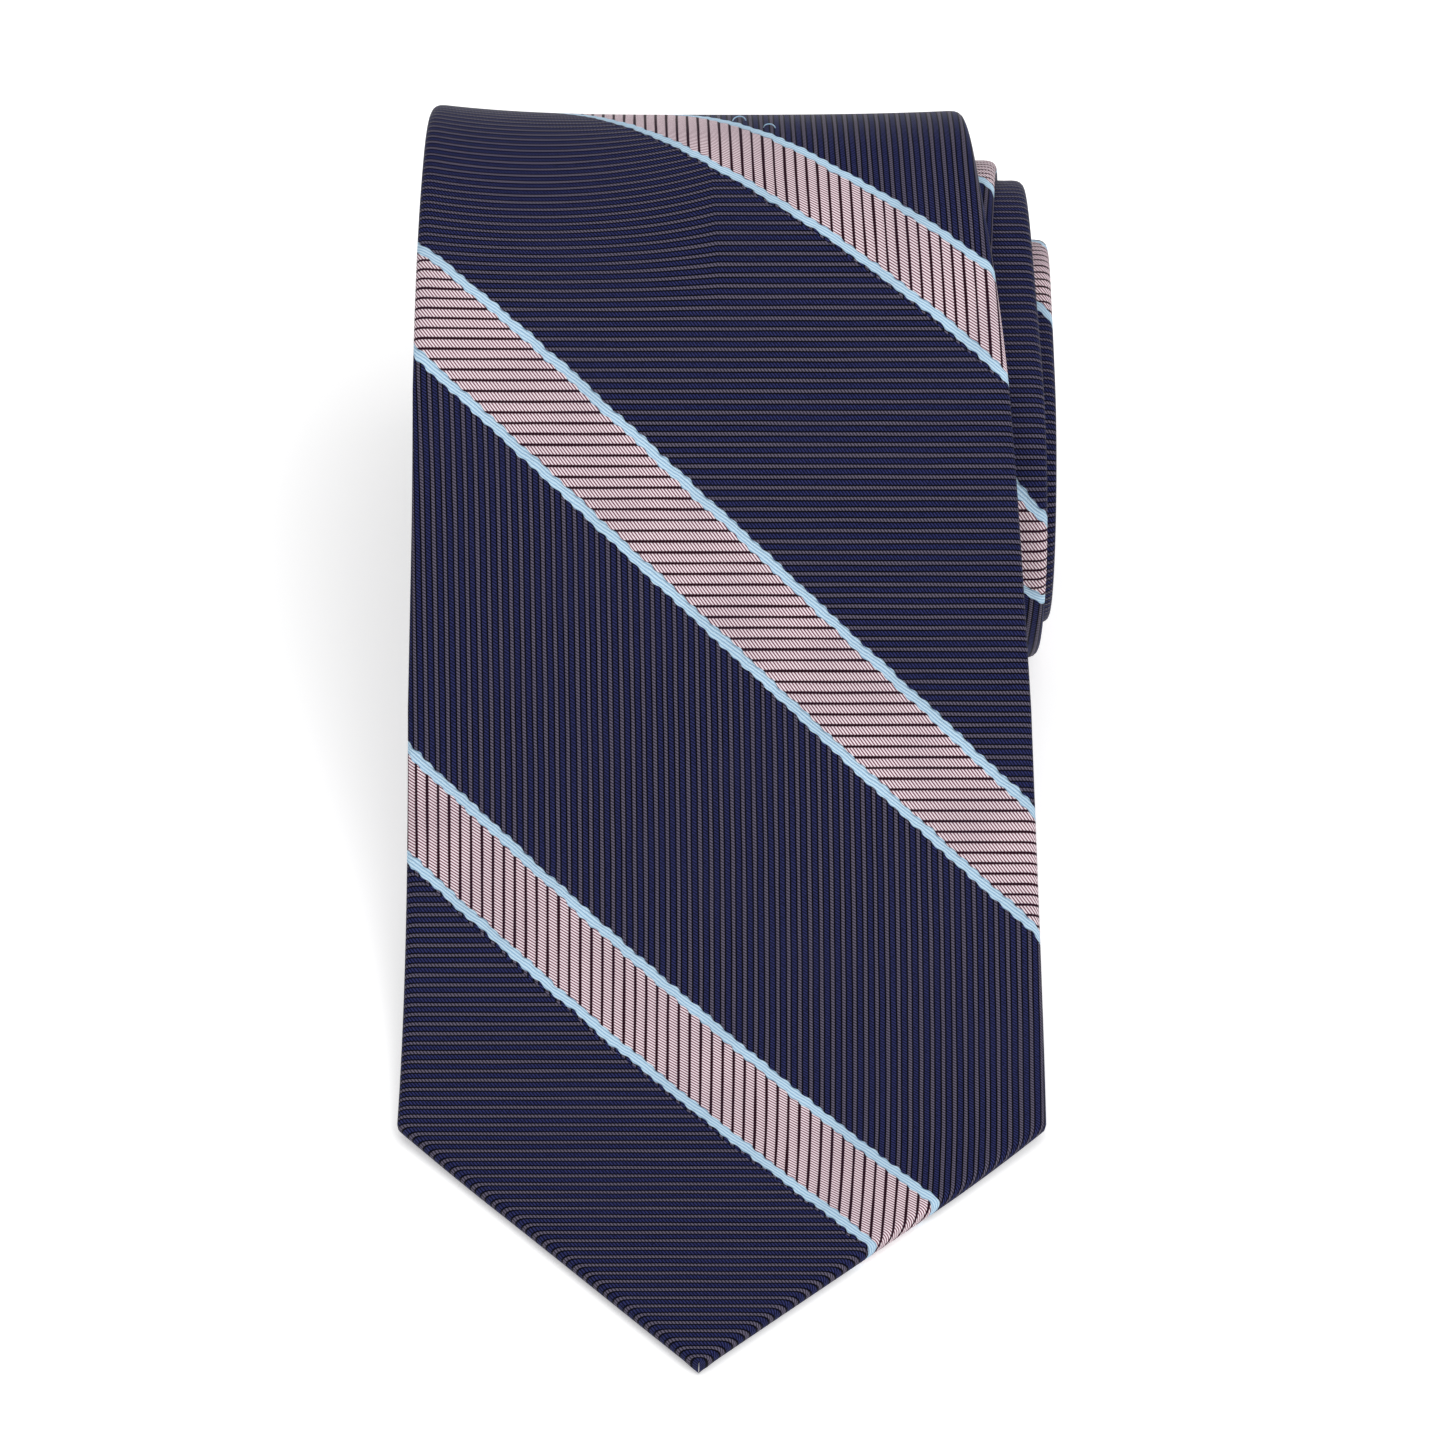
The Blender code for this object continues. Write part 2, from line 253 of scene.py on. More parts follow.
LINE = make_line()
FOOT_HINGE = FLAT_RUN + FOOT_RADIUS * SLOPE / 2
CREST_HINGE = FLAT_RUN + FOOT_RADIUS * SLOPE + SLOPE_RUN + CREST_RADIUS * SLOPE / 2
UNROLL = [length_at(a) for a in TURN_HINGES]


def linear(s, knots):
    """Straight interpolation in a list of (s, value)."""
    for (s0, v0), (s1, v1) in zip(knots, knots[1:]):
        if s <= s1:
            return v0 + (v1 - v0) * (s - s0) / (s1 - s0)
    return knots[-1][1]


def smooth(s, knots):
    """Smooth interpolation in a list of (s, value), with the slopes of the chords."""
    i = min(max(bisect.bisect_right([k[0] for k in knots], s) - 1, 0), len(knots) - 2)
    (s0, v0), (s1, v1) = knots[i], knots[i + 1]
    before = knots[max(i - 1, 0)]
    after = knots[min(i + 2, len(knots) - 1)]
    step = s1 - s0
    m0 = (v1 - before[1]) / (s1 - before[0]) * step
    m1 = (after[1] - v0) / (after[0] - s0) * step
    t = min(max((s - s0) / step, 0.0), 1.0)
    return (
        v0 * (2 * t**3 - 3 * t**2 + 1) + m0 * (t**3 - 2 * t**2 + t)
        + v1 * (3 * t**2 - 2 * t**3) + m1 * (t**3 - t**2)
    )


def ease(value, low, high):
    """0 below low, 1 above high, smooth between."""
    t = min(max((value - low) / (high - low), 0.0), 1.0)
    return t * t * (3 - 2 * t)


def point_width(from_end, full):
    """Half the width near a right-angled point whose very end is rounded."""
    middle = POINT_RADIUS * math.sqrt(2)
    if from_end < POINT_RADIUS / math.sqrt(2):
        inside = POINT_RADIUS**2 - (from_end - middle) ** 2
        return math.sqrt(max(inside, (0.1 * MM) ** 2))
    return min(from_end, full)


def half_width(s):
    tail = TAIL_HALF_WIDTH / MM
    knots = ((0, WIDTHS[0][1]), *WIDTHS, (TIE_LENGTH / MM - tail, tail))
    long_edges = linear(s / MM, knots) * MM
    return min(point_width(s, long_edges), point_width(TIE_LENGTH - s, long_edges))


def back_opening(s):
    """Half the gap between the two flaps on the back at length s."""
    w = half_width(s)
    blade_vee = (BLADE_VEE_TOP - s) * BLADE_VEE_FLARE
    tail_vee = (TAIL_VEE_TOP - (TIE_LENGTH - s)) * TAIL_VEE_FLARE
    opening = min(w - HEM, blade_vee if s < TIE_LENGTH / 2 else tail_vee)
    return min(max(SEAM_SLIT, opening), 0.5 * w)


def middle(s):
    """X of the tie's middle line at length s, from its place at the point."""
    return smooth(s / MM, DRIFT) * MM


TIP_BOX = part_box("blade_silk_tip")
SHIFT_X = (TIP_BOX[0].x + TIP_BOX[1].x) / 2 - linear(41.5, DRIFT) * MM
SHIFT_Y = TIP_BOX[0].y - POINT_CUT


def world(s, across, depth):
    """A point at length s, across the tie from its middle, and that deep under its face."""
    y, z, heading = LINE.place(s)
    share = across / max(half_width(s), 5 * MM)
    lift = smooth(s / MM, LIFT_LEFT if across < 0 else LIFT_RIGHT) * MM * share**2 * abs(share)
    depth -= lift
    return (
        SHIFT_X + middle(s) + across,
        SHIFT_Y + y + depth * math.sin(heading),
        z - depth * math.cos(heading),
    )


# ---------------------------------------------------------------- meshes

def stations(start, end, step):
    count = max(2, math.ceil((end - start) / step))
    return [start + (end - start) * i / count for i in range(count + 1)]


def sweep(name, rings, cloth, caps):
    """A closed solid through equal rings of points, each with its place on the flat cloth.

    caps are the faces that close both ends.  cloth holds (across, along, stripe) for each
    point."""
    count = len(rings[0])
    points = [p for ring in rings for p in ring]
    faces = []
    for r in range(len(rings) - 1):
        for i in range(count):
            j = (i + 1) % count
            faces.append((r * count + i, (r + 1) * count + i, (r + 1) * count + j, r * count + j))
    last = (len(rings) - 1) * count
    faces += [tuple(cap) for cap in caps]
    faces += [tuple(last + i for i in reversed(cap)) for cap in caps]
    mesh = bpy.data.meshes.new(name)
    mesh.from_pydata(points, [], faces)
    mesh.update()
    mesh.shade_smooth()
    flat = [c for row in cloth for c in row]
    across = mesh.uv_layers.new(name="cloth")
    stripe = mesh.uv_layers.new(name="stripe")
    index = np.zeros(len(mesh.loops), np.int32)
    mesh.loops.foreach_get("vertex_index", index)
    table = np.array(flat, float)[index]
    across.data.foreach_set("uv", (table[:, :2] / RIB).astype(np.float32).ravel())
    pair = np.stack([(table[:, 2] - FIRST_STRIPE) / REPEAT, np.zeros(len(table))], 1)
    stripe.data.foreach_set("uv", pair.astype(np.float32).ravel())
    part = bpy.data.objects.new(name, mesh)
    bpy.context.scene.collection.objects.link(part)
    sharpen_caps(mesh, 2 * len(caps))
    return part


def sharpen_caps(mesh, count):
    """The two cut ends are flat, so that they don't bend the shading of the rest."""
    ends = mesh.polygons[len(mesh.polygons) - count:]
    keys = {key for face in ends for key in face.edge_keys}
    for face in ends:
        face.use_smooth = False
    for edge in mesh.edges:
        if edge.key in keys:
            edge.use_edge_sharp = True


def fold_path(w, gap, thickness, overlap, columns):
    """The silk's own line across the tie, as (across, depth) from flap to flap."""
    radius = min(FOLD_RADIUS, 0.8 * w)
    half = thickness / 2
    flap, fold, face = columns
    path = []
    left_end = gap
    for i in range(flap):
        x = left_end + (w - radius - left_end) * i / flap
        path.append((-x, thickness))
    for i in range(fold):
        a = math.pi * i / fold
        squeeze = math.sin(a) ** 0.8
        path.append((-(w - radius) - radius * squeeze, half + half * math.cos(a)))
    for i in range(face + 1):
        x = -(w - radius) + 2 * (w - radius) * i / face
        path.append((x, 0.0))
    for i in range(1, fold):
        a = math.pi * i / fold
        squeeze = math.sin(a) ** 0.8
        path.append(((w - radius) + radius * squeeze, half - half * math.cos(a)))
    right_end = gap - overlap
    for i in range(flap + 1):
        x = (w - radius) + (right_end - (w - radius)) * i / flap
        rise = ease(gap + 4 * MM - x, 0, 3 * MM) if overlap else 0.0
        path.append((x, thickness + rise * (CLOTH + 0.02 * MM)))
    return path


def silk_ring(s, shear):
    """Points of the folded silk with its thickness, and their places on the flat cloth."""
    w = half_width(s)
    gap = back_opening(s)
    overlap = SEAM_OVERLAP * ease(s, BLADE_VEE_TOP, BLADE_VEE_TOP + OVERLAP_RAMP) * ease(
        TIE_LENGTH - s, TAIL_VEE_TOP, TAIL_VEE_TOP + OVERLAP_RAMP)
    path = fold_path(w, gap, THICKNESS, overlap, SILK_COLUMNS)
    line = np.array(path)
    steps = np.linalg.norm(np.diff(line, axis=0), axis=1)
    lengths = np.concatenate([[0], np.cumsum(steps)])
    middle_length = lengths[len(path) // 2]
    fabric = lengths - middle_length
    tangent = np.gradient(line, axis=0)
    tangent /= np.maximum(np.linalg.norm(tangent, axis=1, keepdims=True), 1e-12)
    inward = np.stack([-tangent[:, 1], tangent[:, 0]], 1)
    inner = line + inward * min(CLOTH, 0.25 * w)
    outer_points = [(x, d, f) for (x, d), f in zip(line, fabric)]
    inner_points = [(x, d, f) for (x, d), f in zip(inner, fabric)][::-1]
    ring, cloth = [], []
    for x, d, f in outer_points + inner_points:
        here = s + shear * f
        scale = half_width(here) / w if shear else 1.0
        ring.append(world(here, x * scale, d))
        cloth.append((f, here))
    return ring, cloth


def blade_stripe(f, s):
    """Where a point lies in the pattern, with the slip of each turn against the front."""
    return s + f + smooth(s / MM, SLIP) * MM


def neck_stripe(f, s):
    """The neck panel is cut the other way up, so its pattern runs backwards."""
    return NECK_STRIPE - (s + f)


def tail_stripe(f, s):
    return s + f - NECK_TAIL_SEAM + TAIL_STRIPE


def seam_shear(s):
    """How far the cross-sections slant, so that the panels meet on the bias."""
    before = ease(s, BLADE_NECK_SEAM - SEAM_FADE, BLADE_NECK_SEAM)
    return before * (1 - ease(s, NECK_TAIL_SEAM, NECK_TAIL_SEAM + SEAM_FADE))


def bow(f, s):
    """How far the cross ribs are pulled out of true, where the cloth bends over the crest."""
    amount = BOW * ease(s, *BOW_IN) * (1 - ease(s, *BOW_OUT))
    return amount * min(((f - BOW_CENTRE) / BOW_REACH) ** 2, 1.5)


def silk(name, start, end, step, stripe):
    """A stretch of the folded silk, with the pattern that stripe() gives."""
    rings, cloth = [], []
    for s in stations(start, end, step):
        ring, flat = silk_ring(s, seam_shear(s))
        rings.append(ring)
        cloth.append([(f, here - bow(f, here), stripe(f, here)) for f, here in flat])
    count = len(rings[0])
    caps = [(i, i + 1, count - 2 - i, count - 1 - i) for i in range(count // 2 - 1)]
    part = sweep(name, rings, cloth, caps)
    part.data.materials.append(SILK)
    return part


def rounded_slab(half, top, bottom, sides=28):
    """A flat strip with rounded edges, as (across, depth) points round it."""
    middle_depth, thick = (top + bottom) / 2, (bottom - top) / 2
    points = []
    for i in range(sides):
        a = 2 * math.pi * (i + 0.5) / sides
        c, sn = math.cos(a), math.sin(a)
        x = math.copysign(abs(c) ** 0.35, c) * half
        d = math.copysign(abs(sn) ** 0.7, sn) * thick
        points.append((x, middle_depth + d))
    return points


def strip(name, start, end, step, half, top, bottom, material):
    """A flat strip of another cloth, inside the silk."""
    rings, cloth = [], []
    for s in stations(start, end, step):
        profile = rounded_slab(half(s), top, bottom)
        rings.append([world(s, x, d) for x, d in profile])
        cloth.append([(x, s, s) for x, d in profile])
    part = sweep(name, rings, cloth, [tuple(range(len(rings[0])))])
    part.data.materials.append(material)
    return part


def tube(name, path, radius, material, sides=7):
    """A thread through a list of points."""
    rings, cloth = [], []
    centre = [Vector(p) for p in path]
    for i, p in enumerate(centre):
        ahead = centre[min(i + 1, len(centre) - 1)] - centre[max(i - 1, 0)]
        ahead.normalize()
        side = ahead.cross(Vector((0, 0, 1)) if abs(ahead.z) < 0.9 else Vector((1, 0, 0)))
        side.normalize()
        up = side.cross(ahead)
        ring = []
        for k in range(sides):
            a = 2 * math.pi * k / sides
            ring.append(p + (side * math.cos(a) + up * math.sin(a)) * radius)
        rings.append([tuple(q) for q in ring])
        cloth.append([(k * radius, i * radius, 0) for k in range(sides)])
    part = sweep(name, rings, cloth, [tuple(range(sides))])
    part.data.materials.append(material)
    return part


def join(name, parts):
    """Several pieces as one object."""
    bpy.ops.object.select_all(action="DESELECT")
    for part in parts:
        part.select_set(True)
    bpy.context.view_layer.objects.active = parts[0]
    bpy.ops.object.join()
    parts[0].name = name
    parts[0].data.name = name
    return parts[0]


# ---------------------------------------------------------------- materials

class Nodes:
    """Short names for building a material's node tree."""

    def __init__(self, name):
        self.material = bpy.data.materials.new(name)
        self.material.use_nodes = True
        self.tree = self.material.node_tree
        self.shader = self.tree.nodes["Principled BSDF"]

    def node(self, kind, **values):
        made = self.tree.nodes.new(kind)
        for key, value in values.items():
            setattr(made, key, value)
        return made

    def put(self, socket, value):
        if isinstance(value, bpy.types.NodeSocket):
            self.tree.links.new(value, socket)
        else:
            socket.default_value = value

    def math(self, operation, *values):
        made = self.node("ShaderNodeMath", operation=operation)
        for socket, value in zip(made.inputs, values):
            self.put(socket, value)
        return made.outputs[0]

    def add(self, a, b):
        return self.math("ADD", a, b)

    def sub(self, a, b):
        return self.math("SUBTRACT", a, b)

    def mul(self, a, b):
        return self.math("MULTIPLY", a, b)

    def wave(self, phase):
        """A cosine from 0 to 1 that is 1 where the phase is whole."""
        turned = self.math("COSINE", self.mul(phase, 2 * math.pi))
        return self.math("MULTIPLY_ADD", turned, 0.5, 0.5)

    def off(self, phase):
        """How far the phase is from a whole number, 0 to 0.5."""
        return self.math("PINGPONG", phase, 0.5)

    def step(self, value, low, high):
        """0 below low, 1 above high, smooth between."""
        made = self.node("ShaderNodeMapRange", interpolation_type="SMOOTHSTEP")
        for key, number in (("Value", value), ("From Min", low), ("From Max", high)):
            self.put(made.inputs[key], number)
        return made.outputs[0]

    def mix(self, share, a, b):
        made = self.node("ShaderNodeMix", data_type="RGBA")
        for key, value in ((0, share), (6, a), (7, b)):
            self.put(made.inputs[key], value)
        return made.outputs[2]

    def blend(self, share, a, b):
        made = self.node("ShaderNodeMix", data_type="FLOAT")
        for key, value in ((0, share), (2, a), (3, b)):
            self.put(made.inputs[key], value)
        return made.outputs[0]

    def uv(self, name):
        split = self.node("ShaderNodeSeparateXYZ")
        self.put(split.inputs[0], self.node("ShaderNodeUVMap", uv_map=name).outputs[0])
        return split.outputs[0], split.outputs[1]

    def noise(self, scale, detail=2.0, vector=None):
        made = self.node("ShaderNodeTexNoise")
        made.inputs["Scale"].default_value = scale
        made.inputs["Detail"].default_value = detail
        if vector is not None:
            self.put(made.inputs["Vector"], vector)
        return made.outputs["Fac"]

    def pair(self, x, y):
        made = self.node("ShaderNodeCombineXYZ")
        self.put(made.inputs[0], x)
        self.put(made.inputs[1], y)
        return made.outputs[0]

    def bump(self, height):
        made = self.node("ShaderNodeBump")
        made.inputs["Strength"].default_value = 1.0
        made.inputs["Distance"].default_value = 1.0
        self.put(made.inputs["Height"], height)
        self.put(self.shader.inputs["Normal"], made.outputs[0])

    def finish(self, colour, roughness, sheen=0.0, specular=0.5):
        self.put(self.shader.inputs["Base Color"], colour)
        self.put(self.shader.inputs["Roughness"], roughness)
        self.shader.inputs["Sheen Weight"].default_value = sheen
        self.shader.inputs["Sheen Roughness"].default_value = 0.4
        self.shader.inputs["Specular IOR Level"].default_value = specular
        return self.material


def rgb(red, green, blue):
    """A colour given in 0 to 255 as it looks, in the shader's linear units."""
    linear_values = []
    for value in (red, green, blue):
        c = value / 255
        linear_values.append(c / 12.92 if c <= 0.04045 else ((c + 0.055) / 1.055) ** 2.4)
    return (*linear_values, 1.0)


def silk_material():
    """Ribbed twill: navy with dusty pink stripes, each edged by a pale blue twisted cord."""
    n = Nodes("striped_silk")
    u, s = n.uv("cloth")
    stripe, _ = n.uv("stripe")
    wander = n.noise(0.35, 2.0, n.pair(u, s))
    wobble = n.mul(n.sub(wander, 0.5), 1.1)
    repeat, before = REPEAT / MM, 1.5
    t = n.math("WRAP", n.add(n.mul(stripe, repeat), wobble), repeat - before, -before)

    # Which part of the repeat this is.
    def inside(low, high):
        return n.mul(n.math("GREATER_THAN", t, low), n.math("LESS_THAN", t, high))

    pink_along = inside(*PINK_ALONG)
    pink_across = inside(*PINK_ACROSS)
    pink = n.math("MAXIMUM", pink_along, pink_across)
    across = n.math("GREATER_THAN", t, PINK_ACROSS[0])

    # Ribs run along the tie or across it; r counts them and a runs along them.
    r = n.blend(across, u, s)
    a = n.blend(across, s, u)
    drift = n.noise(0.9, 1.0, n.pair(n.mul(a, 0.15), n.math("FLOOR", r)))
    r = n.add(r, n.mul(n.sub(drift, 0.5), 0.12))
    centre = n.off(r)
    round_rib = n.math("POWER", n.math("SINE", n.mul(n.math("FRACT", r), math.pi)), 0.6)

    # Fine diagonal threads.
    along_twill = n.add(n.mul(s, 3.43), n.mul(u, 2.26))
    across_twill = n.add(n.mul(u, 3.2), n.mul(s, 2.25))
    thread = n.wave(n.blend(across, along_twill, across_twill))
    tone = n.noise(6.0, 2.0, n.pair(u, s))
    slow = n.noise(0.12, 1.0, n.pair(u, s))

    # Navy: a dotted mauve line on each rib, blue twill beside it, black between.
    dots = n.blend(n.step(thread, 0.2, 0.7), 0.2, 1.0)
    mauve_line = n.mul(n.step(centre, 0.19, 0.1), dots)
    dashes = n.mul(n.step(thread, 0.3, 0.75), n.step(tone, 0.15, 0.6))
    blue_amount = n.mul(n.step(centre, 0.25, 0.34), n.blend(dashes, 0.12, 1.0))
    navy = n.mix(blue_amount, rgb(2, 2, 8), rgb(52, 56, 106))
    navy = n.mix(mauve_line, navy, rgb(106, 100, 120))

    # Pink: pale slanting threads on rose, with a plum groove between the ribs.
    rose = n.mix(n.step(thread, 0.2, 0.7), rgb(110, 56, 72), rgb(255, 240, 246))
    rose = n.mix(n.mul(n.step(tone, 0.35, 0.8), 0.15), rose, rgb(190, 142, 156))
    rose = n.mix(n.step(centre, 0.17, 0.08), rose, rgb(44, 18, 30))

    # Pale blue cords on both edges of every pink stripe, with a scalloped outline.
    w = n.mul(n.sub(s, u), 0.5)
    scallop = n.wave(w)
    border = None
    for edge in (*PINK_ALONG, *PINK_ACROSS):
        gap = n.math("ABSOLUTE", n.sub(t, edge))
        border = gap if border is None else n.math("MINIMUM", border, gap)
    width = n.math("MULTIPLY_ADD", scallop, 0.3, BORDER)
    cord = n.math("LESS_THAN", border, width)
    strand = n.wave(n.add(n.mul(w, 0.5), n.mul(t, 1.7)))
    fine = n.wave(n.add(n.mul(w, 3.0), n.mul(t, 2.6)))
    cord_colour = n.mix(n.step(strand, 0.0, 0.6), rgb(148, 184, 214), rgb(205, 232, 250))
    cord_colour = n.mix(n.mul(n.step(fine, 0.6, 1.0), 0.25), cord_colour, rgb(162, 196, 222))

    colour = n.mix(pink, navy, rose)
    colour = n.mix(cord, colour, cord_colour)
    colour = n.mix(n.mul(n.step(slow, 0.35, 0.75), 0.12), colour, rgb(36, 38, 70))

    # Relief of the ribs, the threads and the cords.
    navy_relief = n.add(n.mul(round_rib, 0.12 * MM), n.mul(thread, 0.03 * MM))
    pink_relief = n.add(n.mul(round_rib, 0.16 * MM), n.mul(thread, 0.04 * MM))
    relief = n.blend(pink, navy_relief, pink_relief)
    cord_round = n.math("SQRT", n.math("MAXIMUM", n.sub(1.0, n.math(
        "POWER", n.math("DIVIDE", border, width), 2.0)), 0.0))
    cord_relief = n.add(n.mul(cord_round, 0.28 * MM), n.mul(strand, 0.06 * MM))
    relief = n.blend(cord, relief, cord_relief)
    n.bump(relief)
    roughness = n.blend(pink, n.blend(tone, 0.42, 0.55), 0.5)
    return n.finish(colour, roughness, specular=0.03)


def wool_material():
    """Brushed wool felt."""
    n = Nodes("wool_interlining")
    fluff = n.noise(900.0, 4.0)
    clumps = n.noise(120.0, 3.0)
    colour = n.mix(n.step(clumps, 0.3, 0.7), rgb(222, 217, 204), rgb(238, 235, 226))
    n.bump(n.mul(n.add(fluff, clumps), 0.2 * MM))
    return n.finish(colour, n.blend(fluff, 0.85, 1.0), sheen=0.4, specular=0.2)


def lining_material():
    """Plain navy satin with a very fine warp."""
    n = Nodes("lining_silk")
    u, s = n.uv("cloth")
    warp = n.wave(n.mul(u, 9.0))
    weft = n.wave(n.add(n.mul(s, 9.0), n.mul(u, 2.0)))
    slub = n.noise(3.0, 3.0, n.pair(n.mul(u, 4.0), n.mul(s, 0.3)))
    colour = n.mix(n.mul(warp, slub), rgb(22, 24, 48), rgb(48, 52, 88))
    n.bump(n.add(n.mul(warp, 0.01 * MM), n.mul(weft, 0.008 * MM)))
    return n.finish(colour, n.blend(slub, 0.3, 0.42), sheen=0.1)


def thread_material(name, dark, light):
    """Twisted sewing thread."""
    n = Nodes(name)
    u, s = n.uv("cloth")
    ply = n.wave(n.add(n.mul(s, 3.0), n.mul(u, 4.0)))
    fuzz = n.noise(3000.0, 2.0)
    colour = n.mix(n.mul(n.step(ply, 0.2, 0.8), n.step(fuzz, 0.2, 0.7)), dark, light)
    n.bump(n.mul(ply, 0.03 * MM))
    return n.finish(colour, n.blend(fuzz, 0.5, 0.65), sheen=0.2, specular=0.4)


SILK = silk_material()
WOOL = wool_material()
LINING = lining_material()
NAVY_THREAD = thread_material("navy_thread", rgb(20, 22, 44), rgb(52, 56, 98))
BLUE_THREAD = thread_material("pale_blue_thread", rgb(140, 178, 208), rgb(196, 224, 243))


# ---------------------------------------------------------------- pieces

# Where the cloth is cut into pieces, half-way along each body, and the body pairs they join.
SPLITS = [118 * MM, 178 * MM]
SPLITS += [(a + b) / 2 for a, b in zip(UNROLL, UNROLL[1:])]
SPLITS += [292 * MM]
PAIRS = (
    ("tip", "slope", 0 * MM, SPLITS[0], FOOT_HINGE - 27 * MM, FOOT_HINGE + 27 * MM),
    ("slope", "top", SPLITS[0], SPLITS[1], CREST_HINGE - 24 * MM, CREST_HINGE + 22 * MM),
    ("top", "upper_turn", SPLITS[1], SPLITS[2], SPLITS[1] + 8 * MM, SPLITS[2] - 1 * MM),
    ("upper_turn", "rear_turn", SPLITS[2], SPLITS[3], SPLITS[2] + 1 * MM, SPLITS[3] - 1 * MM),
    ("rear_turn", "lower_turn", SPLITS[3], SPLITS[4], SPLITS[3] + 1 * MM, SPLITS[4] - 1 * MM),
    ("lower_turn", "roll", SPLITS[4], SPLITS[5], SPLITS[4] + 1 * MM, SPLITS[5] - 1 * MM),
)


def bind(part, pair):
    """The piece's place is baked into its mesh; it is not tied to the two bodies that it joins.
    """
    a, b, _, _, start, end = pair
    world(start, 0, 0)
    world(end, 0, 0)
    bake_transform(part)


def cut_width(s):
    """Width of the flat silk at length s: the face and both flaps."""
    return 2 * (half_width(s) + half_width(s) - back_opening(s))


def declare(start, end, width):
    """Works out the flat widths of a piece of cloth every 4 mm along it, and keeps none of them.
    """
    steps = stations(start, end, 4 * MM)
    widths = [max(width(s), 0.2 * MM) for s in steps]


def silk_pieces():
    tip_start = POINT_RADIUS * (math.sqrt(2) - 1)
    for pair in PAIRS:
        a, b, start, end = pair[:4]
        start = max(start, tip_start)
        part = silk(f"blade_silk_{a}_to_{b}", start, end, SILK_STEP, blade_stripe)
        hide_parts(f"blade_silk_{a}")
        declare(start, end, cut_width)
        bind(part, pair)
    rest = (
        ("blade_silk_inner_turns", SPLITS[-1], BLADE_NECK_SEAM, blade_stripe, "blade_silk_roll"),
        ("neck_silk_panel", BLADE_NECK_SEAM, NECK_TAIL_SEAM, neck_stripe, "neck_silk"),
        ("tail_silk_panel", NECK_TAIL_SEAM, TIE_LENGTH - tip_start, tail_stripe, "tail_silk"),
    )
    for name, start, end, stripe, node in rest:
        part = silk(name, start, end, INNER_STEP, stripe)
        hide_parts(node)
        declare(start, end, cut_width)
        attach(part, "roll")


def interlining_pieces():
    def half(s):
        return max(half_width(s) - 1.0 * MM, 0.3 * MM)

    top = CLOTH + 0.15 * MM
    start_at = 4 * MM
    for pair in PAIRS:
        a, b, start, end = pair[:4]
        start = max(start, start_at)
        part = strip(f"interlining_{a}_to_{b}", start, end, 1.6 * MM, half, top, top + CORE,
                     WOOL)
        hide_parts(f"interlining_{a}")
        declare(start, end, lambda s: 2 * half(s))
        bind(part, pair)
    part = strip("interlining_inner_turns", SPLITS[-1], TIE_LENGTH - start_at, 3 * MM, half, top,
                 top + CORE, WOOL)
    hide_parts("interlining_roll")
    declare(SPLITS[-1], TIE_LENGTH - start_at, lambda s: 2 * half(s))
    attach(part, "roll")


def tipping_pieces():
    def half(s):
        return max(min(back_opening(s) + 3 * MM, half_width(s) - 1.5 * MM), 0.5 * MM)

    high = THICKNESS - CLOTH - 0.25 * MM
    low = THICKNESS - CLOTH - 0.05 * MM
    part = strip("blade_tipping", HEM, BLADE_VEE_TOP + 3 * MM, 1.2 * MM, half, high, low,
                 LINING)
    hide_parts("blade_tipping_tip", "blade_tipping_slope")
    declare(HEM, BLADE_VEE_TOP + 3 * MM, lambda s: 2 * half(s))
    bind(part, PAIRS[0])
    start, end = TIE_LENGTH - TAIL_VEE_TOP - 3 * MM, TIE_LENGTH - HEM
    part = strip("narrow_end_tipping", start, end, 1.2 * MM, half, high, low, LINING)
    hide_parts("tail_tipping")
    declare(start, end, lambda s: 2 * half(s))
    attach(part, "roll")


def stitch_path(start, end):
    """A running thread that comes out of the seam and dips back under it."""
    path = []
    for s in stations(start, end, 0.7 * MM):
        phase = 2 * math.pi * s / STITCH
        out = max(0.0, math.cos(phase)) ** 0.5
        depth = THICKNESS - 0.55 * MM + out * (CLOTH + 0.45 * MM)
        path.append(world(s, SEAM_EDGE + 0.5 * MM * math.sin(phase), depth))
    return path


def slip_stitch_pieces():
    start_at = BLADE_VEE_TOP + 6 * MM
    end_at = TIE_LENGTH - TAIL_VEE_TOP - 6 * MM
    for pair in PAIRS:
        a, b, start, end = pair[:4]
        start = max(start, start_at)
        if start > end:
            continue
        name = f"slip_stitch_{a}_to_{b}"
        part = tube(name, stitch_path(start, end), THREAD_RADIUS, NAVY_THREAD)
        if a != "tip":
            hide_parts(f"slip_stitch_{a}")
        bind(part, pair)
    part = tube("slip_stitch_inner_turns", stitch_path(SPLITS[-1], end_at), THREAD_RADIUS,
                NAVY_THREAD)
    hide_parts("slip_stitch_roll")
    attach(part, "roll")


def bar_tack(name, s, node, body):
    """A core of thread across the seam, wrapped by close stitches."""
    length, width, wraps = 9 * MM, 1.5 * MM, 17
    depth = THICKNESS + CLOTH + 0.12 * MM
    strands = []
    core = [world(s, -length / 2 + length * i / 12, depth) for i in range(13)]
    strands.append(tube(name + "_core", core, 0.28 * MM, NAVY_THREAD))
    for k in range(wraps):
        x = -length / 2 + length * (k + 0.5) / wraps
        path = []
        for i in range(9):
            a = math.pi * i / 8
            along = -width / 2 * math.cos(a)
            out = math.sin(a) * 0.5 * MM - 0.25 * MM
            path.append(world(s + along, x + 0.1 * MM * math.cos(a), depth + out))
        strands.append(tube(f"{name}_{k}", path, 0.2 * MM, NAVY_THREAD))
    part = join(name, strands)
    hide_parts(node)
    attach(part, body)


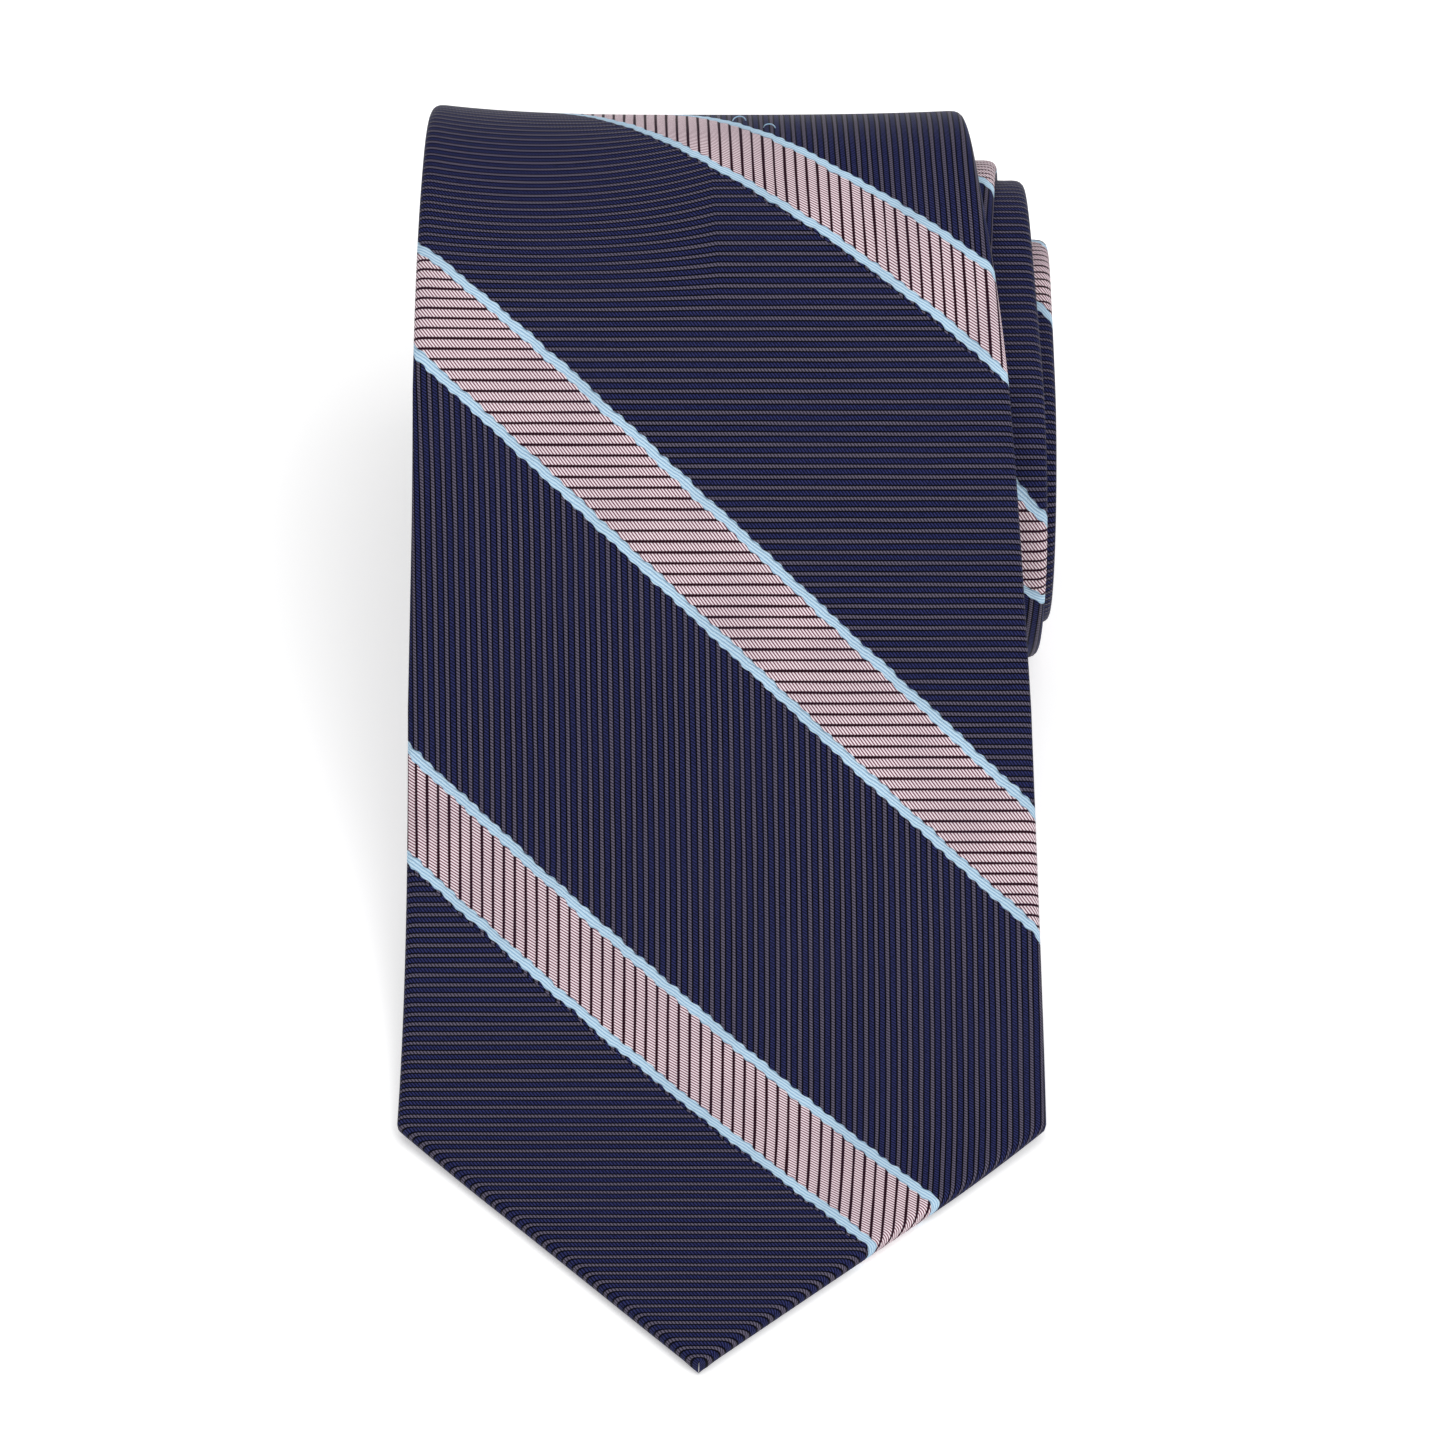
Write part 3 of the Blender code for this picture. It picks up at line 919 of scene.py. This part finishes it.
def keeper():
    """A folded band of the same silk, sewn down at both ends across the back."""
    half_length, half_band, thick = 27 * MM, 5 * MM, 0.8 * MM
    s = UNROLL[0] + (UNROLL[1] - UNROLL[0]) / 4
    rings, cloth = [], []
    for x in stations(-half_length, half_length, 1.0 * MM):
        rise = ease(half_length - abs(x), 0, 3 * MM)
        pinch = 1 - 0.06 * (1 - rise)
        low = THICKNESS + CLOTH + 0.05 * MM + rise * 0.9 * MM
        ring, flat = [], []
        for i in range(36):
            a = 2 * math.pi * i / 36
            c, sn = math.cos(a), math.sin(a)
            along = math.copysign(abs(c) ** 0.3, c) * half_band * pinch
            out = math.copysign(abs(sn) ** 0.6, sn) * thick / 2
            ring.append(world(s + along, x, low + thick / 2 - out))
            flat.append((along, x, x + along))
        rings.append(ring)
        cloth.append(flat)
    part = sweep("keeper_band", rings, cloth, [tuple(range(36))])
    part.data.materials.append(SILK)
    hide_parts("keeper_loop")
    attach(part, "upper_turn")


def loose_threads():
    """Small loops of the pale blue cord that have pulled out near the top of a stripe."""
    loops = []
    for k, (s, x, size, lean) in enumerate(YARN_LOOPS):
        path = []
        for i in range(15):
            a = math.pi * (i / 14 * 1.5 - 0.25)
            along = size * (1 - math.cos(a)) * 0.35 * lean
            path.append(world((s + along) * MM, (x - size * math.cos(a)) * MM,
                              (0.1 - size * math.sin(a) * 0.8) * MM))
        loops.append(tube(f"loop_{k}", path, 0.09 * MM, BLUE_THREAD, sides=6))
    part = join("loose_cord_loops", loops)
    bind(part, PAIRS[2])


silk_pieces()
interlining_pieces()
tipping_pieces()
slip_stitch_pieces()
bar_tack("blade_end_bar_tack", BLADE_VEE_TOP + 4 * MM, "blade_bar_tack", "slope")
bar_tack("narrow_end_bar_tack", TIE_LENGTH - TAIL_VEE_TOP - 4 * MM, "tail_bar_tack", "roll")
keeper()
loose_threads()


# ---------------------------------------------------------------- stage, light and camera

def stage():
    bpy.ops.mesh.primitive_plane_add(size=12, location=(0, 0, -0.0003))
    floor = bpy.context.object
    floor.name = "floor"
    n = Nodes("pale_floor")
    floor.data.materials.append(n.finish((0.9, 0.9, 0.9, 1), 0.9, specular=0.1))
    n.shader.inputs["Emission Color"].default_value = (1, 1, 1, 1)
    n.shader.inputs["Emission Strength"].default_value = 0.4


def soft_light(name, place, size, power):
    """A square soft box that faces the middle of the floor."""
    data = bpy.data.lights.new(name, "AREA")
    data.shape = "SQUARE"
    data.size = size
    data.energy = power
    lamp = bpy.data.objects.new(name, data)
    lamp.location = place
    lamp.rotation_euler = (-Vector(place)).to_track_quat("-Z", "Y").to_euler()
    bpy.context.scene.collection.objects.link(lamp)


def lights():
    soft_light("top", (0.1, 0.0, 1.5), 1.6, 14)
    soft_light("key", (0.6, -0.9, 1.1), 0.8, 6)
    background = bpy.data.worlds.new("studio")
    background.use_nodes = True
    shade = background.node_tree.nodes["Background"]
    shade.inputs["Color"].default_value = (1, 1, 1, 1)
    shade.inputs["Strength"].default_value = 0.35
    bpy.context.scene.world = background
    bpy.context.scene.view_settings.view_transform = "Standard"


def camera():
    data = bpy.data.cameras.new("camera")
    data.lens = CAMERA_LENS
    data.sensor_width = 36
    data.clip_start = 0.05
    data.clip_end = 50
    lens = bpy.data.objects.new("camera", data)
    lens.location = (CAMERA_PLACE[0] + SHIFT_X, CAMERA_PLACE[1] + SHIFT_Y, CAMERA_PLACE[2])
    lens.rotation_euler = (math.pi / 2 - CAMERA_DOWN, 0, 0)
    bpy.context.scene.collection.objects.link(lens)
    bpy.context.scene.camera = lens


stage()
lights()
camera()
